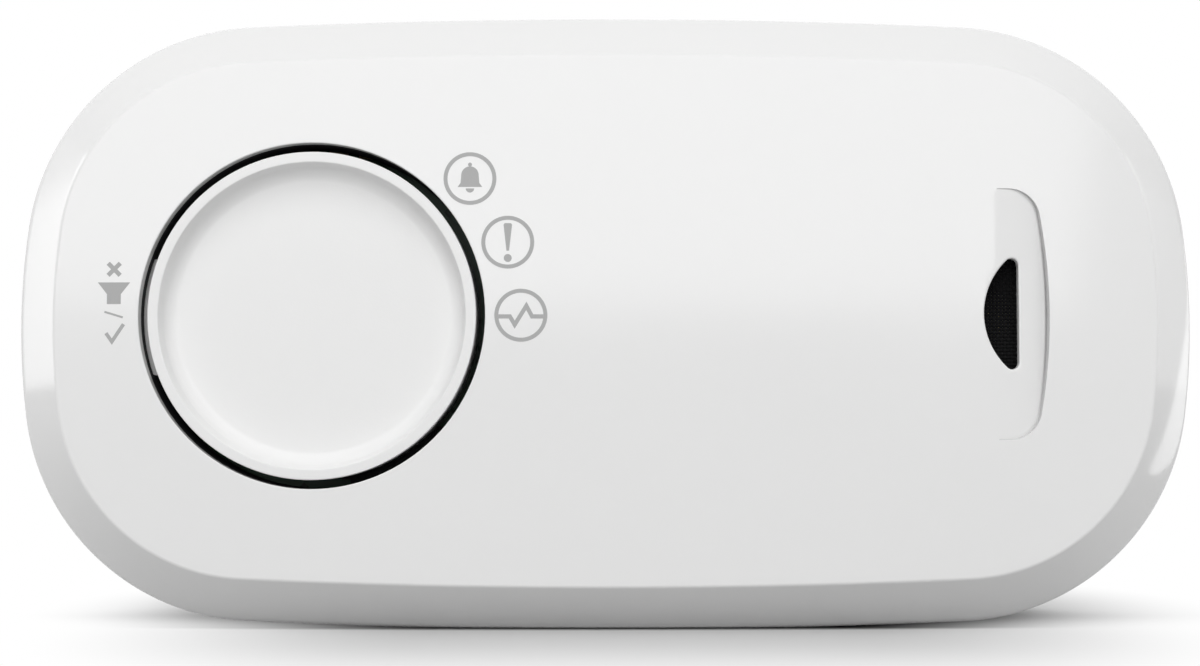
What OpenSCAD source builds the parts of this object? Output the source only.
// Carbon monoxide detector: a bowed, bevelled wall or shelf case with a dished test button,
// a scooped vent, a battery door at the back, and the board, sensor, sounder and cells inside.
// It stands on its long bottom edge: X is the width, Z is up and the front faces minus Y.
// Pieces are drawn face up (x right, y up from the middle, z towards the viewer) and then stood up.

/* [Case] */
// Width of the case
case_w = 120; // [119:0.5:124]
// Height of the case as it stands
case_h = 62.5; // [62:0.5:66]
// Depth of the case, front face to back
case_d = 38; // [38:0.5:40]
// Wall thickness of both covers
wall = 2; // [1.8:0.1:2.2]
// Radius of the bow along the long edges
long_bow_r = 800; // [700:10:1000]
// Radius of the bow along the short edges
side_bow_r = 74; // [68:1:90]
// Radius of the corners of the outline
corner_r = 24; // [22:0.5:25]
// Depth of the flat on which the case stands
stand_flat = 0.25; // [0.2:0.05:0.35]
// Depth of the rear cover
rear_d = 11; // [10:0.5:12]
// Radius of the edge round the back
back_edge_r = 2.4; // [1.6:0.2:3]

/* [Front bevel] */
// Inset of the front bevel
bevel_in = 4.6; // [4:0.1:5]
// Depth of the front bevel
bevel_deep = 5.2; // [4.6:0.1:5.6]
// Radius where the bevel meets the side wall
shoulder_r = 1.6; // [1:0.1:2]
// Radius where the bevel meets the front face
brow_r = 0.5; // [0.3:0.1:0.8]

/* [Test button] */
// Middle of the button, across
button_x = -29.5; // [-30:0.1:-29]
// Middle of the button above the middle of the case
button_y = 0.4; // [0:0.1:0.8]
// Radius of the button
button_r = 16.5; // [16.2:0.1:16.7]
// Gap between the button and its hole
button_gap = 0.9; // [0.7:0.05:1.1]
// Width of the flat rim round the dish
rim_w = 1.05; // [0.8:0.05:1.4]
// Depth of the dish
dish_deep = 2.2; // [1.8:0.1:2.4]
// Slope of the wall round the dish
dish_slope = 75; // [70:1:78]
// Radius of the fillet at the foot of that wall
dish_fillet = 1.5; // [1.2:0.1:1.8]
// Distance of the hinge pin from the middle of the button
hinge_reach = 21.5; // [21.2:0.1:21.8]
// Radius of the hinge pin
hinge_pin_r = 1.2; // [1.1:0.05:1.3]
// Radial play of the hinge pin in its lugs
hinge_play = 0.05; // [0.03:0.01:0.08]

/* [Vent] */
// Right end of the scoop
scoop_right = 44.75; // [44.4:0.05:45]
// Where the scoop's ramp starts
scoop_start = 40.4; // [40.1:0.1:40.7]
// Slope of the ramp
scoop_slope = 13; // [10:1:15]
// Height of the scoop
scoop_h = 25.4; // [24:0.2:26.4]
// Middle of the vent above the middle of the case
vent_y = 0.55; // [0.3:0.05:0.8]
// Straight edge of the vent opening
vent_right = 41.5; // [41.3:0.1:41.7]
// Width of the vent opening
vent_w = 3.5; // [3:0.1:3.8]
// Height of the vent opening before its tips are rounded
vent_h = 12.4; // [11.6:0.1:12.8]

/* [Wall fixing] */
// Distance between the two keyholes
key_spacing = 88; // [86:1:90]
// Radius of the keyhole's round entry
key_entry_r = 4.25; // [4:0.05:4.5]
// Width of the keyhole's slot
key_slot_w = 4.4; // [4:0.1:4.8]
// Length of the keyhole's slot between middles
key_slot_l = 8; // [7:0.5:9]

/* [Battery bay] */
// Diameter of a cell
cell_d = 14.2; // [13.8:0.1:14.4]
// Length of a cell with its cap
cell_l = 50.2; // [49.6:0.1:50.4]
// Length of the door
door_l = 64; // [63.6:0.1:64]
// Height of the door
door_h = 36; // [35.6:0.1:36]
// Play round the door
door_play = 0.3; // [0.3:0.05:0.4]

/* [Hidden] */
$fn = 64;
front_z = case_d / 2;
back_z = -case_d / 2;
seam_z = back_z + rear_d;
half_w = case_w / 2;
half_h = (case_h + stand_flat) / 2;
centre_z = case_h - half_h;
outline = [half_w, half_h, long_bow_r, side_bow_r, corner_r];
corner_lap = 0.03;
inside_z = front_z - wall;
rooted_z = inside_z + 0.5;
lap = 0.1;
lean = atan2(bevel_in, bevel_deep);
shoulder_z = front_z - bevel_deep - shoulder_r * tan(lean / 2);
brow_in = bevel_in + brow_r * tan(45 - lean / 2);

// Edge profiles run from the back to the front as [inset, depth].
front_edge = concat(
    [[0, seam_z]],
    [for (i = [0:5]) let (t = lean * i / 5)
        [shoulder_r * (1 - cos(t)), shoulder_z + shoulder_r * sin(t)]],
    [for (i = [0:3]) let (t = (90 - lean) * (1 - i / 3))
        [brow_in - brow_r * sin(t), front_z - brow_r + brow_r * cos(t)]]);
front_hollow = [
    [wall, seam_z - 1],
    [wall, front_z - bevel_deep - wall * tan(lean / 2)],
    [bevel_in + wall * tan(45 - lean / 2), inside_z]];
seam_groove = 0.35;
back_edge = concat(
    [for (i = [0:5]) let (t = 18 * i) [back_edge_r * (1 - sin(t)), back_z + back_edge_r * (1 - cos(t))]],
    [[0, seam_z - seam_groove], [seam_groove, seam_z]]);
back_hollow = [[wall + 0.8, back_z + wall], [wall, back_z + wall + 0.8], [wall, seam_z + 1]];
lip_in = wall + 0.15;
lip_w = 1;
lip_edge = [
    [wall - 0.5, seam_z - 3.5],
    [wall - 0.5, seam_z - 0.5],
    [lip_in, seam_z - 0.5],
    [lip_in, seam_z + 2]];

// Button, hinge and switch.
hole_r = button_r + button_gap;
hole_chamfer = 0.12;
dish_r = button_r - rim_w;
dish_z = front_z - dish_deep;
dish_floor_r = dish_r - dish_deep / tan(dish_slope) - dish_fillet * tan(dish_slope / 2);
button_plate = 1.6;
button_chamfer = 0.12;
skirt_w = 1.4;
skirt_z = front_z - 6;
collar_r = hole_r + 1.6;
collar_z = front_z - 7;
hinge_x = button_x - hinge_reach;
hinge_z = front_z - 4.6;
arm_w = 11.8;
arm_t = 2;
arm_play = 0.4;
arm_l = hinge_reach - button_r + skirt_w;
slot_top_z = front_z - 3.1;
stop_x = hinge_x + 0.7;
stop_l = 1.4;
stop_gap = 0.15;
lug_in = 6.5;
lug_w = 2.5;
lug_l = 4.8;
lug_h = 5.3;
snap_w = 2;
switch_x = hinge_x + 11.5;
switch_w = 6;
switch_h = 3.5;
plunger_r = 1.75;
press_r = 2;
press_z = front_z - 6.3;
switch_gap = 0.1;

// Board and what stands on it.
board_t = 1.6;
board_back_z = back_z + 20.5;
board_z = board_back_z + board_t;
board_in = 5;
post_x = 46;
post_y = 18.5;
post_r = 3.2;
post_end = seam_z + 2;
post_pilot_r = 1.5;
board_post_r = 2.6;
board_pilot_r = 1;
board_fixings = [[-6, 21.5], [-6, -21.5], [22, 21.5], [22, -21.5]];
led_ring_r = 21;
led_angles = [41, 20.5, 0];
led_r = 1.5;
led_h = 5.3;
led_flange_r = 1.9;
led_flange_t = 1;
shroud_r = 2.7;
shroud_z = board_z + 6;
lamp_skin = 0.8;
pipe_r = 1.6;
pipe_play = 0.1;
pipe_z = board_z + led_h + 0.4;
sensor_at = [6.5, 0];
sensor_r = 10;
sensor_h = 10;
sensor_foot = 0.5;
sensor_rim = 0.5;
sensor_rim_h = 2;
sensor_lip_r = 7;
sensor_lip_h = 0.8;
sensor_cap_r = 8.5;
sensor_cap_t = 1.2;
gas_hole_r = 1.5;
sensor_pin_ring_r = 6;
pin_r = 0.5;
sounder_at = [39.3, vent_y];
sounder_r = 15;
sounder_pin_x = 5;
sounder_foot = 0.3;
sounder_base_h = 2.5;
sounder_base_z = board_z + sounder_base_h;
sounder_z = board_z + 9.5;
sounder_wall = 1.5;
sounder_mouth_r = 3;
seat_r = 13.6;
seat_h = 1.4;
seat_w = 1.2;
piezo_r = 13.4;
piezo_t = 0.3;
ceramic_r = 9.5;
pad_z = inside_z - 0.5;
pad_w = 17;
pad_h = 29;
mesh_r = 7.5;
mesh_t = 0.4;
gasket_r = 9.5;
gasket_bore_r = 6.8;
mesh_pitch = 0.72;
mesh_hole = 0.44;
vent_mid = vent_right - vent_w / 2;
vent_arc_r = (vent_h * vent_h / 4 + vent_w * vent_w) / (2 * vent_w);
vent_tip_r = 0.7;
vent_lip = 1.1;
vent_relief = 0.5;
scoop_w = 20;
scoop_outline = [scoop_w / 2, scoop_h / 2, 300, 56, 3.2];
scoop_deepest = 2.4;

// Battery bay.
bay_l = 56;
bay_h = 30;
bay_wall = 2;
door_t = 1.7;
bay_floor_z = back_z + 16.7;
bay_floor_t = 1.5;
bay_rim_z = back_z + wall - 0.3;
ledge_w = 3;
ledge_t = 1.7;
cell_y = 7.35;
cell_z = bay_floor_z - 0.2 - cell_d / 2;
contact_t = 0.4;
nub_end = bay_l / 2 - contact_t - 0.1;
spring_wire_r = 0.4;
spring_turns = 3;
door_corner_r = 2.5;
door_axis_x = -door_l / 2 + door_t / 2;
tab_y = 9;
tab_w = 8;
tab_reach = 2.6;
tab_t = 1;
tab_play = 0.4;
tab_pocket_l = 7;
tab_pocket_h = 2.7;
tab_pocket_end = 2.8;
tab_mouth_l = 5;
latch_w = 10;
latch_play = 0.6;
latch_t = 1.2;
latch_h = 3.2;
latch_hook = 0.4;
latch_hook_t = 0.8;
latch_pocket_end = 1.5;
latch_pocket_h = 3;
foot_t = 1.2;
foot_lap = 0.3;
rib_x = -20;
rib_l = 42;
rib_w = 1.2;
rib_h = 0.7;
grip_r = 1;
grip_rise = 0.5;
grip_l = 12;
grip_pitch = 2.6;
grip_from_end = 5;
tail_y = 6.5;
tail_w = 3;
tail_play = 0.2;
screw_seat_z = back_z + 8.8;
well_wall_r = 4.6;
well_r = 3.3;
shank_hole_r = 1.6;
key_y = -4;

// Stands a piece drawn face up on its bottom edge.
module stand() {
    translate([0, 0, centre_z])
        rotate([90, 0, 0])
            children();
}

// Middle of a corner that runs smoothly into both bows of an outline,
// given as [half width, half height, long bow, side bow, corner].
function corner_centre(o) =
    let (long_c = [0, o[1] - o[2]], side_c = [o[0] - o[3], 0])
    let (rl = o[2] - o[4], rs = o[3] - o[4])
    let (between = side_c - long_c, span = norm(between), along = between / span)
    let (a = (rl * rl - rs * rs + span * span) / (2 * span))
    long_c + a * along + sqrt(rl * rl - a * a) * [along[1], -along[0]];

// One bowed side: an edge profile carried along a shallow arc.
module bowed_side(r, half_a, n, reach, edge) {
    last = len(edge) - 1;
    ring = concat([for (p = edge) [r - p.x, p.y]], [[r - reach, edge[last].y], [r - reach, edge[0].y]]);
    m = len(ring);
    points = [for (i = [0:n], q = ring) let (a = half_a * (2 * i / n - 1))
        [q.x * cos(a), q.x * sin(a), q.y]];
    sides = [for (i = [0:n - 1], q = [0:m - 1]) let (b = i * m, t = (q + 1) % m)
        [b + q, b + t, b + m + t, b + m + q]];
    ends = [[for (q = [0:m - 1]) m - 1 - q], [for (q = [0:m - 1]) n * m + q]];
    polyhedron(points, concat(sides, ends));
}

// One corner: an edge profile turned round the corner's middle.
module round_corner(r, edge) {
    last = len(edge) - 1;
    rotate_extrude($fn = 120)
        polygon(concat([[0, edge[last].y], [0, edge[0].y]], [for (p = edge) [r - p.x, p.y]]));
}

// A whole block whose rim follows an edge profile round a bowed outline.
module bowed_block(o, edge) {
    c = corner_centre(o);
    long_a = atan2(c.x, c.y - o[1] + o[2]);
    side_a = atan2(c.y, c.x - o[0] + o[3]);
    core_y = c.y + o[4] / 6;
    z0 = edge[0].y;
    z1 = edge[len(edge) - 1].y;
    translate([-c.x, -core_y, z0])
        cube([2 * c.x, 2 * core_y, z1 - z0]);
    for (x = [-c.x, c.x], y = [-c.y, c.y])
        translate([x, y, 0])
            round_corner(o[4] + corner_lap, edge);
    for (s = [0, 180])
        rotate(s) {
            translate([0, o[1] - o[2], 0])
                rotate(90)
                    bowed_side(o[2], long_a, 8, o[4] + c.y / 2 + 1, edge);
            translate([o[0] - o[3], 0, 0])
                bowed_side(o[3], side_a, 6, o[4] + 4, edge);
        }
}

// A plate with round corners, standing on z and centred.
module round_plate(l, h, r, t) {
    translate([-l / 2 + r, -h / 2, 0])
        cube([l - 2 * r, h, t]);
    translate([-l / 2, -h / 2 + r, 0])
        cube([l, h - 2 * r, t]);
    for (x = [-1, 1], y = [-1, 1])
        translate([x * (l / 2 - r), y * (h / 2 - r), 0])
            cylinder(r = r, h = t);
}

// A tube standing between two depths.
module post(r, from, to) {
    translate([0, 0, from])
        cylinder(r = r, h = to - from);
}

// Removes the sliver under the standing flat.
module stand_cut() {
    translate([-40, -half_h - 5, back_z - 1])
        cube([80, 5 + stand_flat, case_d + 2]);
}

module at_posts() {
    for (x = [-post_x, post_x], y = [-post_y, post_y])
        translate([x, y, 0])
            children();
}

module at_leds(which) {
    for (i = which)
        translate([button_x + led_ring_r * cos(led_angles[i]),
            button_y + led_ring_r * sin(led_angles[i]), 0])
            children();
}

// Straight-edged half-moon opening with rounded tips.
module vent_shape() {
    offset(r = vent_tip_r)
        offset(delta = -vent_tip_r)
            intersection() {
                translate([vent_right - vent_w + vent_arc_r, vent_y])
                    circle(r = vent_arc_r);
                translate([vent_right - 2 * vent_w, vent_y - vent_h])
                    square([2 * vent_w, 2 * vent_h]);
            }
}

// Ramp that falls to a curved step at its right end.
module scoop_cut() {
    intersection() {
        translate([scoop_right - scoop_w / 2, vent_y, 0])
            bowed_block(scoop_outline, [[0, front_z - scoop_deepest], [0, front_z + 1]]);
        translate([scoop_start, vent_y, front_z])
            rotate([0, scoop_slope, 0])
                translate([0, -scoop_h, 0])
                    cube([scoop_w / 2, 2 * scoop_h, 2 * scoop_deepest]);
    }
}

module hinge_lugs() {
    for (s = [-1, 1])
        translate([hinge_x, button_y + s * (lug_in + lug_w / 2), rooted_z - lug_h / 2])
            cube([lug_l, lug_w, lug_h], center = true);
}

module hinge_bores() {
    translate([hinge_x, button_y, hinge_z])
        rotate([90, 0, 0])
            cylinder(r = hinge_pin_r + hinge_play, h = 2 * (lug_in + lug_w) + 1, center = true);
    translate([hinge_x - snap_w / 2, button_y - lug_in - lug_w - 1, inside_z - lug_h - 1])
        cube([snap_w, 2 * (lug_in + lug_w + 1), hinge_z - inside_z + lug_h + 1]);
}

module front_cover() {
    color("white")
        difference() {
            union() {
                difference() {
                    bowed_block(outline, front_edge);
                    bowed_block(outline, front_hollow);
                }
                translate([button_x, button_y, 0])
                    post(collar_r, collar_z, rooted_z);
                hinge_lugs();
                translate([vent_mid + 0.6, vent_y, pad_z])
                    round_plate(pad_w, pad_h, 3, rooted_z - pad_z);
                at_leds([0, 1, 2])
                    post(shroud_r, shroud_z, rooted_z);
                at_posts()
                    post(post_r, post_end, rooted_z);
                for (p = board_fixings)
                    translate([p.x, p.y, 0])
                        post(board_post_r, board_z, rooted_z);
            }
            translate([button_x, button_y, 0])
                post(hole_r, collar_z - 1, front_z + 1);
            translate([button_x, button_y, front_z - hole_chamfer])
                cylinder(r1 = hole_r, r2 = hole_r + 2 * hole_chamfer, h = 2 * hole_chamfer);
            translate([stop_x, button_y - arm_w / 2 - arm_play, collar_z - 1])
                cube([arm_l, arm_w + 2 * arm_play, slot_top_z - collar_z + 1]);
            hinge_bores();
            scoop_cut();
            translate([0, 0, pad_z - 1])
                linear_extrude(height = 6)
                    vent_shape();
            translate([0, 0, pad_z - 1])
                linear_extrude(height = front_z - vent_lip - pad_z + 1)
                    offset(r = vent_relief)
                        vent_shape();
            at_leds([0, 1, 2])
                post(pipe_r + pipe_play, board_z, front_z - lamp_skin);
            at_posts()
                post(post_pilot_r, post_end - 1, post_end + 10);
            for (p = board_fixings)
                translate([p.x, p.y, 0])
                    post(board_pilot_r, board_z - 1, board_z + 7);
            stand_cut();
        }
}

module test_button() {
    color("whitesmoke") {
        translate([button_x, button_y, 0])
            rotate_extrude($fn = 120)
                polygon(concat(
                    [[0, dish_z - button_plate], [0, dish_z]],
                    [for (i = [0:8]) let (t = dish_slope * i / 8)
                        [dish_floor_r + dish_fillet * sin(t), dish_z + dish_fillet * (1 - cos(t))]],
                    [[dish_r, front_z], [button_r - button_chamfer, front_z],
                        [button_r, front_z - button_chamfer], [button_r, skirt_z],
                        [button_r - skirt_w, skirt_z], [button_r - skirt_w, dish_z - button_plate]]));
        translate([hinge_x, button_y - arm_w / 2, hinge_z - arm_t / 2])
            cube([arm_l, arm_w, arm_t]);
        translate([stop_x, button_y - arm_w / 2, hinge_z])
            cube([stop_l, arm_w, inside_z - stop_gap - hinge_z]);
        translate([hinge_x, button_y, hinge_z])
            rotate([90, 0, 0])
                cylinder(r = hinge_pin_r, h = 2 * (lug_in + lug_w) - 0.8, center = true);
        translate([switch_x, button_y, press_z])
            cylinder(r = press_r, h = dish_z - button_plate / 2 - press_z);
    }
}

module vent_mesh() {
    color("dimgray")
        translate([vent_mid, vent_y, pad_z - mesh_t])
            difference() {
                cylinder(r = mesh_r, h = mesh_t);
                for (i = [-3:3], j = [-8:8])
                    translate([i * mesh_pitch - mesh_hole / 2, j * mesh_pitch - mesh_hole / 2, -1])
                        cube([mesh_hole, mesh_hole, 2]);
            }
}

module keyhole() {
    translate([0, key_y, 0])
        post(key_entry_r, back_z - 1, back_z + wall + 1);
    translate([0, key_y + key_slot_l, 0])
        post(key_slot_w / 2, back_z - 1, back_z + wall + 1);
    translate([-key_slot_w / 2, key_y, back_z - 1])
        cube([key_slot_w, key_slot_l, wall + 2]);
}

// Shallow recess for the door, square at the hinge end and round at the latch end.
module door_recess() {
    l = door_l + 2 * door_play;
    h = door_h + 2 * door_play;
    r = door_corner_r + door_play;
    t = 1 + door_t + 0.1;
    translate([0, 0, back_z - 1]) {
        round_plate(l, h, r, t);
        translate([-l / 2, -h / 2, 0])
            cube([r, h, t]);
    }
}

module rear_cover() {
    color("white")
        difference() {
            union() {
                difference() {
                    bowed_block(outline, back_edge);
                    bowed_block(outline, back_hollow);
                }
                difference() {
                    bowed_block(outline, lip_edge);
                    bowed_block(outline, [[lip_in + lip_w, seam_z - 4], [lip_in + lip_w, seam_z + 3]]);
                }
                translate([0, 0, bay_rim_z])
                    round_plate(door_l + 2 * ledge_w, door_h + 2 * ledge_w, ledge_w, ledge_t);
                translate([-bay_l / 2 - bay_wall, -bay_h / 2 - bay_wall, bay_rim_z])
                    cube([bay_l + 2 * bay_wall, bay_h + 2 * bay_wall, bay_floor_z + bay_floor_t - bay_rim_z]);
                at_posts()
                    post(well_wall_r, back_z + 1, post_end - 0.2);
            }
            door_recess();
            translate([-bay_l / 2, -bay_h / 2, back_z - 1])
                cube([bay_l, bay_h, bay_floor_z - back_z + 1]);
            for (s = [-1, 1])
                translate([-door_l / 2 - tab_pocket_end, s * tab_y - tab_w / 2 - tab_play, back_z + wall])
                    cube([tab_pocket_l, tab_w + 2 * tab_play, tab_pocket_h]);
            for (s = [-1, 1])
                translate([-door_l / 2 - door_play, s * tab_y - tab_w / 2 - tab_play, back_z + wall / 2])
                    cube([tab_mouth_l, tab_w + 2 * tab_play, wall / 2 + tab_pocket_h]);
            translate([bay_l / 2 - lap, -latch_w / 2 - latch_play, back_z + wall])
                cube([(door_l - bay_l) / 2 + latch_pocket_end + lap, latch_w + 2 * latch_play, latch_pocket_h]);
            translate([bay_l / 2 - lap, -latch_w / 2 - latch_play, back_z + wall / 2])
                cube([(door_l - bay_l) / 2 + door_play + lap, latch_w + 2 * latch_play, latch_pocket_h]);
            for (s = [-1, 1])
                translate([-bay_l / 2, s * tail_y - tail_w / 2 - tail_play, bay_floor_z - 1])
                    cube([2 * contact_t, tail_w + 2 * tail_play, bay_floor_t + 2]);
            for (x = [-key_spacing / 2, key_spacing / 2])
                translate([x, 0, 0])
                    keyhole();
            at_posts() {
                post(well_r, back_z - 1, screw_seat_z);
                post(shank_hole_r, back_z, post_end + 1);
            }
            stand_cut();
        }
}

module battery_door() {
    color("white")
        difference() {
            union() {
                difference() {
                    translate([0, 0, back_z])
                        round_plate(door_l, door_h, door_corner_r, door_t);
                    translate([door_axis_x - door_t, -door_h, back_z - 1])
                        cube([door_t, 2 * door_h, door_t + 2]);
                }
                translate([door_axis_x, -door_h / 2, back_z])
                    cube([door_corner_r, door_h, door_t]);
                translate([door_axis_x, 0, back_z + door_t / 2])
                    rotate([90, 0, 0])
                        cylinder(r = door_t / 2, h = door_h, center = true);
                for (s = [-1, 1])
                    translate([door_axis_x - 0.2, s * tab_y - tab_w / 2, back_z + door_t - foot_lap])
                        cube([foot_t, tab_w, wall + lap + tab_t - door_t + foot_lap]);
                for (s = [-1, 1])
                    translate([door_axis_x - tab_reach, s * tab_y - tab_w / 2, back_z + wall + lap])
                        cube([tab_reach, tab_w, tab_t]);
                translate([door_l / 2 - latch_t - 0.2, -latch_w / 2, back_z + door_t - foot_lap])
                    cube([latch_t, latch_w, latch_h]);
                translate([door_l / 2 - latch_t - 0.2, -latch_w / 2, back_z + wall + 0.3])
                    cube([latch_t + latch_hook, latch_w, latch_hook_t]);
                for (y = [-14, 0, 14])
                    translate([rib_x, y - rib_w / 2, back_z + door_t - foot_lap])
                        cube([rib_l, rib_w, rib_h]);
            }
            for (i = [0:2])
                translate([door_l / 2 - grip_from_end - grip_pitch * i, 0, back_z - grip_rise])
                    rotate([90, 0, 0])
                        cylinder(r = grip_r, h = grip_l, center = true, $fn = 32);
        }
}

// Place of a sensor pin on its ring.
function sensor_pin_at(a) =
    [sensor_at.x + sensor_pin_ring_r * cos(a), sensor_at.y + sensor_pin_ring_r * sin(a), 0];

module circuit_board() {
    color("darkgreen")
        difference() {
            bowed_block([for (v = outline) v - board_in], [[0, board_back_z], [0, board_z]]);
            at_posts()
                post(post_r + 0.5, board_back_z - 1, board_z + 1);
            for (p = board_fixings)
                translate([p.x, p.y, 0])
                    post(1.2, board_back_z - 1, board_z + 1);
            for (a = [90, 210, 330])
                translate(sensor_pin_at(a))
                    post(pin_r + 0.1, board_back_z - 1, board_z + 1);
            for (s = [-1, 1])
                translate([sounder_at.x + s * sounder_pin_x, sounder_at.y, 0])
                    post(pin_r + 0.1, board_back_z - 1, board_z + 1);
        }
}

module switch_body() {
    color("dimgray")
        difference() {
            translate([switch_x - switch_w / 2, button_y - switch_w / 2, board_z])
                cube([switch_w, switch_w, switch_h]);
            translate([switch_x, button_y, 0])
                post(plunger_r + 0.1, board_z + 1, board_z + switch_h + 1);
        }
}

module switch_plunger() {
    color("black")
        translate([switch_x, button_y, 0])
            post(plunger_r, board_z + 2, press_z - switch_gap);
}

// Round indicator lamp with a flange and a domed end.
module lamp() {
    post(led_flange_r, board_z, board_z + led_flange_t);
    post(led_r, board_z + led_flange_t / 2, board_z + led_h - led_r);
    translate([0, 0, board_z + led_h - led_r])
        sphere(r = led_r);
}

module led_alarm() {
    color("red")
        at_leds([0])
            lamp();
}

module led_fault() {
    color("gold")
        at_leds([1])
            lamp();
}

module led_power() {
    color("limegreen")
        at_leds([2])
            lamp();
}

module light_pipes() {
    color("lightcyan")
        at_leds([0, 1, 2])
            post(pipe_r, pipe_z, front_z - lamp_skin - pipe_play);
}

module sensor_body() {
    color("gainsboro")
        translate([sensor_at.x, sensor_at.y, 0])
            difference() {
                union() {
                    post(sensor_r, board_z + sensor_foot, board_z + sensor_h);
                    post(sensor_r + sensor_rim, board_z + sensor_foot, board_z + sensor_foot + sensor_rim_h);
                }
                post(sensor_lip_r, board_z + sensor_h - sensor_lip_h, board_z + sensor_h + 1);
            }
}

module sensor_cap() {
    color("silver")
        translate([sensor_at.x, sensor_at.y, 0])
            difference() {
                union() {
                    post(sensor_lip_r - lap, board_z + sensor_h - sensor_lip_h, board_z + sensor_h);
                    post(sensor_cap_r, board_z + sensor_h, board_z + sensor_h + sensor_cap_t);
                }
                post(gas_hole_r, board_z + sensor_h - 0.3, board_z + sensor_h + 2 * sensor_cap_t);
            }
}

module sensor_pins() {
    color("goldenrod")
        for (a = [90, 210, 330])
            translate(sensor_pin_at(a))
                post(pin_r, board_back_z - 1, board_z + sensor_foot);
}

module sounder_base() {
    color("dimgray")
        translate([sounder_at.x, sounder_at.y, 0])
            difference() {
                union() {
                    post(sounder_r, board_z + sounder_foot, sounder_base_z);
                    post(seat_r, sounder_base_z - 0.5, sounder_base_z + seat_h);
                }
                post(seat_r - seat_w, sounder_base_z - 1, sounder_base_z + 2 * seat_h);
            }
}

module sounder_cup() {
    color("dimgray")
        translate([sounder_at.x, sounder_at.y, 0])
            difference() {
                post(sounder_r, sounder_base_z, sounder_z);
                post(seat_r + 2 * lap, sounder_base_z - 1, sounder_base_z + seat_h + piezo_t);
                post(seat_r - 0.8, sounder_base_z - 1, sounder_z - sounder_wall);
                post(sounder_mouth_r, sounder_base_z, sounder_z + 1);
            }
}

module piezo_plate() {
    color("gold")
        translate([sounder_at.x, sounder_at.y, 0])
            post(piezo_r, sounder_base_z + seat_h, sounder_base_z + seat_h + piezo_t);
}

module piezo_ceramic() {
    color("ivory")
        translate([sounder_at.x, sounder_at.y, 0])
            post(ceramic_r, sounder_base_z + seat_h - piezo_t, sounder_base_z + seat_h);
}

module sounder_gasket() {
    color("darkslategray")
        translate([vent_mid, vent_y, 0])
            difference() {
                post(gasket_r, sounder_z, pad_z - mesh_t);
                post(gasket_bore_r, sounder_z - 1, pad_z);
            }
}

module sounder_pins() {
    color("goldenrod")
        for (s = [-1, 1])
            translate([sounder_at.x + s * sounder_pin_x, sounder_at.y, 0])
                post(pin_r, board_back_z - 1, board_z + sounder_foot);
}

module controller_chip() {
    color("black") {
        translate([-27, -19, board_z + 0.1])
            cube([9, 9, 1.4]);
        for (i = [0:7])
            translate([-28, -18.4 + i * 1.05, board_z])
                cube([11, 0.4, 0.6]);
    }
}

module reservoir_capacitor() {
    color("navy")
        translate([21, -10, 0])
            rotate_extrude()
                polygon([[0, board_z], [3.15, board_z], [3.15, board_z + 1], [2.9, board_z + 1.3],
                    [3.15, board_z + 1.6], [3.15, board_z + 7.2], [2.8, board_z + 7.6], [0, board_z + 7.6]]);
}

module boost_inductor() {
    color("dimgray")
        translate([21, 11, 0]) {
            post(4, board_z, board_z + 1.2);
            post(3.2, board_z + 1, board_z + 5);
            post(4, board_z + 4.8, board_z + 6);
        }
}

module small_components() {
    color("saddlebrown") {
        for (i = [0:5])
            translate([-2 + 3 * i, -24, board_z])
                cube([2, 1.2, 0.7]);
        for (i = [0:3])
            translate([-36 + 3.2 * i, 18, board_z])
                cube([2, 1.2, 0.7]);
        translate([-14, -17, board_z])
            cube([3, 1.8, 1.1]);
    }
}

// A cell lying along x with its cap to the right.
module cell() {
    rotate([0, 90, 0])
        rotate_extrude()
            polygon([[0, 0], [cell_d / 2 - 0.9, 0], [cell_d / 2, 0.6], [cell_d / 2, cell_l - 1.9],
                [cell_d / 2 - 0.7, cell_l - 1.3], [2.7, cell_l - 1.3], [2.7, cell_l - 0.2],
                [2.5, cell_l], [0, cell_l]]);
}

module cell_upper() {
    color("steelblue")
        translate([nub_end - cell_l, cell_y, cell_z])
            cell();
}

module cell_lower() {
    color("steelblue")
        translate([cell_l - nub_end, -cell_y, cell_z])
            rotate(180)
                cell();
}

// Cone spring lying along x from the contact plate to the flat end of a cell.
spring_l = bay_l / 2 - contact_t + nub_end - cell_l;
spring_steps = 12 * spring_turns;
function spring_at(i) =
    let (f = i / spring_steps, r = 4.6 - 1.6 * f, a = 360 * spring_turns * f)
    [0.5 + (spring_l - 1) * f, r * cos(a), r * sin(a)];
spring_gaps = [for (i = [0:spring_steps], j = [0:spring_steps])
    if (j - i > 6) norm(spring_at(j) - spring_at(i))];
echo(spring_least_gap = min(spring_gaps) - 2 * spring_wire_r);

module cone_spring() {
    sides = 6;
    rings = [for (i = [0:spring_steps]) let (a = 360 * spring_turns * i / spring_steps)
        [for (k = [0:sides - 1])
            spring_at(i) + spring_wire_r * (cos(60 * k) * [1, 0, 0] + sin(60 * k) * [0, cos(a), sin(a)])]];
    points = [for (r = rings) each r];
    skin = [for (i = [0:spring_steps - 1], k = [0:sides - 1]) let (b = i * sides, t = (k + 1) % sides)
        [b + k, b + sides + k, b + sides + t, b + t]];
    ends = [[for (k = [0:sides - 1]) k], [for (k = [0:sides - 1]) len(points) - 1 - k]];
    polyhedron(points, concat(skin, ends));
}

module contact_plate(y0, y1) {
    translate([0, y0, bay_floor_z - 12.6])
        cube([contact_t, y1 - y0, 11.6]);
}

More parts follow.
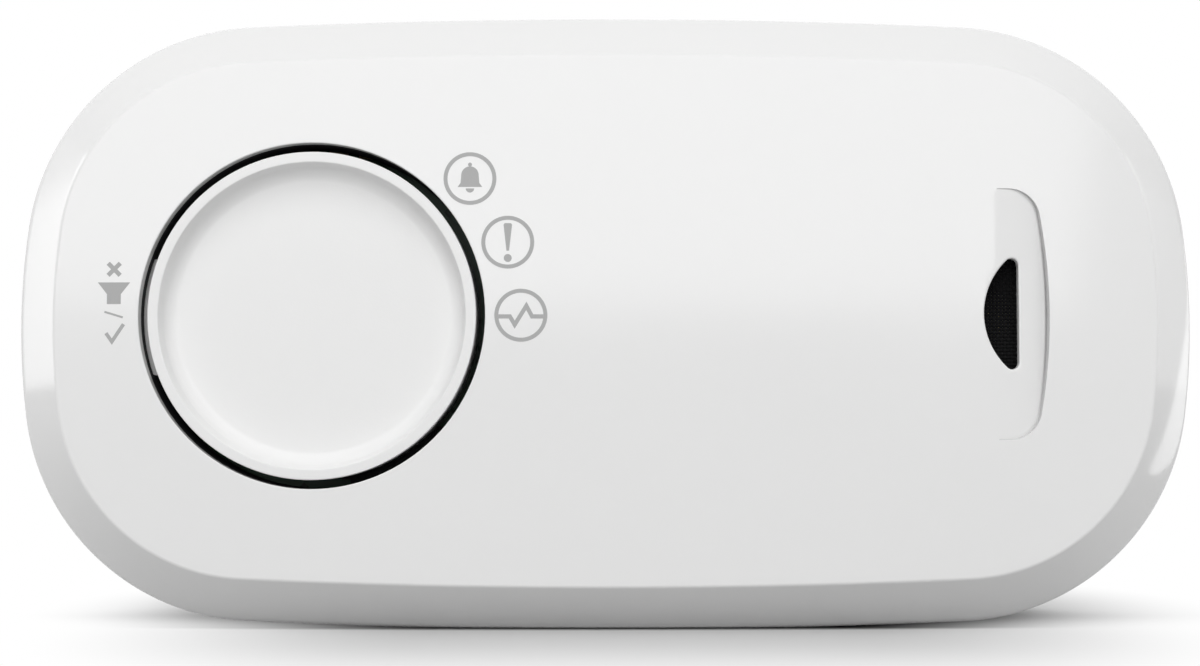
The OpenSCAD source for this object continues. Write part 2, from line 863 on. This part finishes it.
module bridge_contact() {
    color("silver")
        translate([bay_l / 2 - contact_t, 0, 0])
            contact_plate(-13, 13);
}

module bridge_spring() {
    color("silver")
        translate([bay_l / 2 - contact_t, -cell_y, cell_z])
            rotate(180)
                cone_spring();
}

module terminal_tail(y) {
    translate([0, y - tail_w / 2, bay_floor_z - 1.2])
        cube([contact_t, tail_w, board_back_z - bay_floor_z + 1.2]);
}

module negative_contact() {
    color("silver")
        translate([-bay_l / 2, 0, 0]) {
            contact_plate(1.5, 13);
            terminal_tail(tail_y);
        }
}

module negative_spring() {
    color("silver")
        translate([-bay_l / 2 + contact_t, cell_y, cell_z])
            cone_spring();
}

module positive_contact() {
    color("silver")
        translate([-bay_l / 2, 0, 0]) {
            contact_plate(-13, -1.5);
            terminal_tail(-tail_y);
        }
}

// Screw with a cross-slotted pan head below its seat.
module screw(shank_r, head_r, head_h, seat, end) {
    difference() {
        union() {
            post(shank_r, seat - head_h / 2, end);
            post(head_r, seat - head_h, seat);
        }
        for (a = [0, 90])
            translate([0, 0, seat - head_h])
                rotate(a)
                    cube([head_r, head_r / 4, head_h], center = true);
    }
}

module case_screws() {
    color("silver")
        at_posts()
            screw(1.45, 2.8, 2, screw_seat_z, post_end + 8);
}

module board_screws() {
    color("silver")
        for (p = board_fixings)
            translate([p.x, p.y, 0])
                screw(0.95, 2, 1.3, board_back_z, board_z + 5);
}

stand() front_cover();
stand() test_button();
stand() vent_mesh();
stand() rear_cover();
stand() battery_door();
stand() circuit_board();
stand() switch_body();
stand() switch_plunger();
stand() led_alarm();
stand() led_fault();
stand() led_power();
stand() light_pipes();
stand() sensor_body();
stand() sensor_cap();
stand() sensor_pins();
stand() sounder_base();
stand() sounder_cup();
stand() piezo_plate();
stand() piezo_ceramic();
stand() sounder_gasket();
stand() sounder_pins();
stand() controller_chip();
stand() reservoir_capacitor();
stand() boost_inductor();
stand() small_components();
stand() cell_upper();
stand() cell_lower();
stand() bridge_contact();
stand() bridge_spring();
stand() negative_contact();
stand() negative_spring();
stand() positive_contact();
stand() case_screws();
stand() board_screws();
